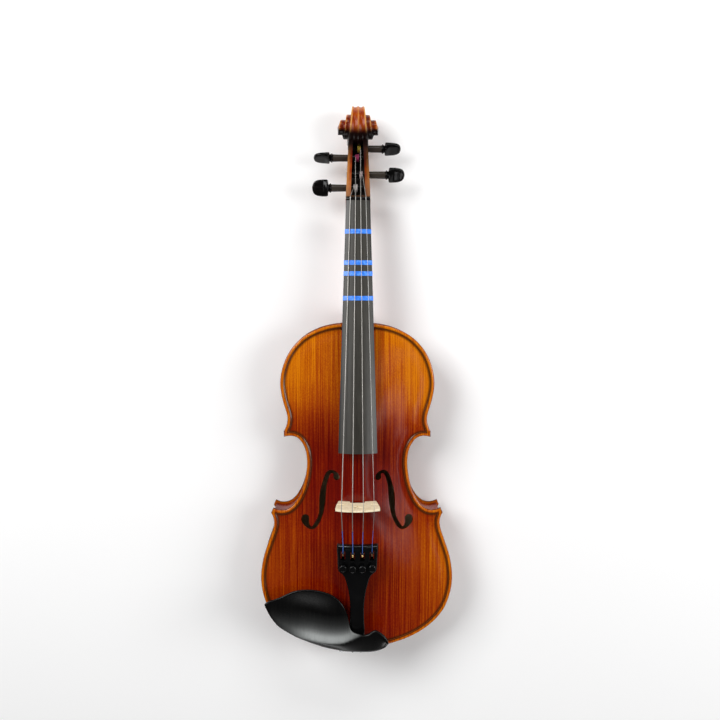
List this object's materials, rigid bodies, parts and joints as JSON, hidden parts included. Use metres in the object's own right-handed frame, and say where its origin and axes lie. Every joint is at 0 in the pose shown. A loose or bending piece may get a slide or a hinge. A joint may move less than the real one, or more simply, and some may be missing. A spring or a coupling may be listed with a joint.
{
  "type": "violin",
  "caption": "Full-size violin with arched body, scroll, fingerboard with finger-position tapes, tailpiece with built-in fine tuners, and chin rest.",
  "frame": {"origin": "lowest spot of the back plate's arch, on which the violin lies", "axes": "+Z out of the belly, +Y from the tail end to the scroll, +X to the treble side (the high string)"},
  "size_m": [0.2096, 0.601, 0.0939],
  "materials": {
    "spruce_varnished": "gloss varnish over fine straight-grained spruce, amber to red-brown",
    "maple_varnished": "gloss varnish over flamed maple, orange-brown",
    "maple_raw": "bare pale maple",
    "spruce_raw": "bare spruce inside the body",
    "fingerboard_black": "blackened hardwood, dull",
    "nut_black": "black hardwood",
    "fitting_black": "black satin wood",
    "composite_black": "black moulded composite, semi-matte",
    "cord_black": "black nylon cord",
    "tape_blue": "bright blue adhesive tape",
    "string_steel": "plain steel string",
    "string_wound": "metal-wound string with blue silk at its tail end",
    "clamp_steel": "plated steel"
  },
  "bodies": {
    "violin_body": {"back_plate": "maple_varnished", "bass_bar": "spruce_raw", "bridge": "maple_raw", "chin_rest": "fitting_black", "clamp_top": "clamp_steel", "corner_block_lower_bass": "spruce_raw", "corner_block_lower_treble": "spruce_raw", "corner_block_upper_bass": "spruce_raw", "corner_block_upper_treble": "spruce_raw", "end_block": "spruce_raw", "end_button": "fitting_black", "finger_tape_1": "tape_blue", "finger_tape_2": "tape_blue", "finger_tape_3": "tape_blue", "finger_tape_4": "tape_blue", "fingerboard": "fingerboard_black", "lining_lower_back_bass": "spruce_raw", "lining_lower_back_treble": "spruce_raw", "lining_lower_top_bass": "spruce_raw", "lining_lower_top_treble": "spruce_raw", "lining_upper_back_bass": "spruce_raw", "lining_upper_back_treble": "spruce_raw", "lining_upper_top_bass": "spruce_raw", "lining_upper_top_treble": "spruce_raw", "lining_waist_back_bass": "spruce_raw", "lining_waist_back_treble": "spruce_raw", "lining_waist_top_bass": "spruce_raw", "lining_waist_top_treble": "spruce_raw", "neck": "maple_varnished", "neck_block": "spruce_raw", "nut": "nut_black", "rib_lower": "maple_varnished", "rib_upper_bass": "maple_varnished", "rib_upper_treble": "maple_varnished", "rib_waist_bass": "maple_varnished", "rib_waist_treble": "maple_varnished", "saddle": "nut_black", "sound_post": "spruce_raw", "string_a": "string_wound", "string_d": "string_wound", "string_e": "string_steel", "string_g": "string_wound", "tail_cord": "cord_black", "tailpiece": "composite_black", "top_plate": "spruce_varnished"},
    "peg_g": {"peg_g": "fitting_black"},
    "peg_d": {"peg_d": "fitting_black"},
    "peg_a": {"peg_a": "fitting_black"},
    "peg_e": {"peg_e": "fitting_black"},
    "tuner_screw_g": {"tuner_screw_g": "composite_black"},
    "tuner_lever_g": {"tuner_lever_g": "composite_black"},
    "tuner_screw_d": {"tuner_screw_d": "composite_black"},
    "tuner_lever_d": {"tuner_lever_d": "composite_black"},
    "tuner_screw_a": {"tuner_screw_a": "composite_black"},
    "tuner_lever_a": {"tuner_lever_a": "composite_black"},
    "tuner_screw_e": {"tuner_screw_e": "composite_black"},
    "tuner_lever_e": {"tuner_lever_e": "composite_black"},
    "clamp_barrel_treble": {"clamp_barrel_treble": "clamp_steel"},
    "clamp_barrel_bass": {"clamp_barrel_bass": "clamp_steel"},
    "clamp_foot": {"clamp_foot": "clamp_steel"}
  },
  "joints": [
    {"name": "peg_g_turn", "type": "hinge", "parent": "violin_body", "child": "peg_g", "pos_m": [0, 0.3246, 0.036], "axis": [-1, 0, 0], "continuous": true},
    {"name": "peg_d_turn", "type": "hinge", "parent": "violin_body", "child": "peg_d", "pos_m": [0, 0.3575, 0.0285], "axis": [-1, 0, 0], "continuous": true},
    {"name": "peg_a_turn", "type": "hinge", "parent": "violin_body", "child": "peg_a", "pos_m": [0, 0.3676, 0.027], "axis": [1, 0, 0], "continuous": true},
    {"name": "peg_e_turn", "type": "hinge", "parent": "violin_body", "child": "peg_e", "pos_m": [0, 0.339, 0.0335], "axis": [1, 0, 0], "continuous": true},
    {"name": "tuner_screw_g_turn", "type": "hinge", "parent": "violin_body", "child": "tuner_screw_g", "pos_m": [-0.0153, -0.0757, 0.07119], "axis": [0, 0, -1], "range_deg": [0, 1440]},
    {"name": "tuner_lever_g_tilt", "type": "hinge", "parent": "violin_body", "child": "tuner_lever_g", "pos_m": [-0.0153, -0.0604, 0.07148], "axis": [1, 0, 0], "range_deg": [0, 7.6]},
    {"name": "tuner_screw_d_turn", "type": "hinge", "parent": "violin_body", "child": "tuner_screw_d", "pos_m": [-0.0051, -0.0757, 0.07346], "axis": [0, 0, -1], "range_deg": [0, 1440]},
    {"name": "tuner_lever_d_tilt", "type": "hinge", "parent": "violin_body", "child": "tuner_lever_d", "pos_m": [-0.0051, -0.0604, 0.07337], "axis": [1, 0, 0], "range_deg": [0, 7.6]},
    {"name": "tuner_screw_a_turn", "type": "hinge", "parent": "violin_body", "child": "tuner_screw_a", "pos_m": [0.0051, -0.0757, 0.07346], "axis": [0, 0, -1], "range_deg": [0, 1440]},
    {"name": "tuner_lever_a_tilt", "type": "hinge", "parent": "violin_body", "child": "tuner_lever_a", "pos_m": [0.0051, -0.0604, 0.07337], "axis": [1, 0, 0], "range_deg": [0, 7.6]},
    {"name": "tuner_screw_e_turn", "type": "hinge", "parent": "violin_body", "child": "tuner_screw_e", "pos_m": [0.0153, -0.0757, 0.07119], "axis": [0, 0, -1], "range_deg": [0, 1440]},
    {"name": "tuner_lever_e_tilt", "type": "hinge", "parent": "violin_body", "child": "tuner_lever_e", "pos_m": [0.0153, -0.0604, 0.07148], "axis": [1, 0, 0], "range_deg": [0, 7.6]},
    {"name": "clamp_barrel_treble_turn", "type": "hinge", "parent": "violin_body", "child": "clamp_barrel_treble", "pos_m": [0.0165, -0.1806, 0.036], "axis": [0, 0, 1], "range_deg": [0, 720]},
    {"name": "clamp_barrel_bass_turn", "type": "hinge", "parent": "violin_body", "child": "clamp_barrel_bass", "pos_m": [-0.0165, -0.1806, 0.036], "axis": [0, 0, 1], "range_deg": [0, 720]},
    {"name": "clamp_foot_slide", "type": "slide", "parent": "violin_body", "child": "clamp_foot", "axis": [0, 0, -1], "range_m": [0, 0.0028]}
  ],
  "couplings": [
    {"joint": "tuner_lever_g_tilt", "follows": "tuner_screw_g_turn", "ratio": 0.005201},
    {"joint": "tuner_lever_d_tilt", "follows": "tuner_screw_d_turn", "ratio": 0.005201},
    {"joint": "tuner_lever_a_tilt", "follows": "tuner_screw_a_turn", "ratio": 0.005201},
    {"joint": "tuner_lever_e_tilt", "follows": "tuner_screw_e_turn", "ratio": 0.005201},
    {"joint": "clamp_barrel_treble_turn", "follows": "clamp_foot_slide", "rad_per_m": 4487.9},
    {"joint": "clamp_barrel_bass_turn", "follows": "clamp_foot_slide", "rad_per_m": 4487.9}
  ]
}
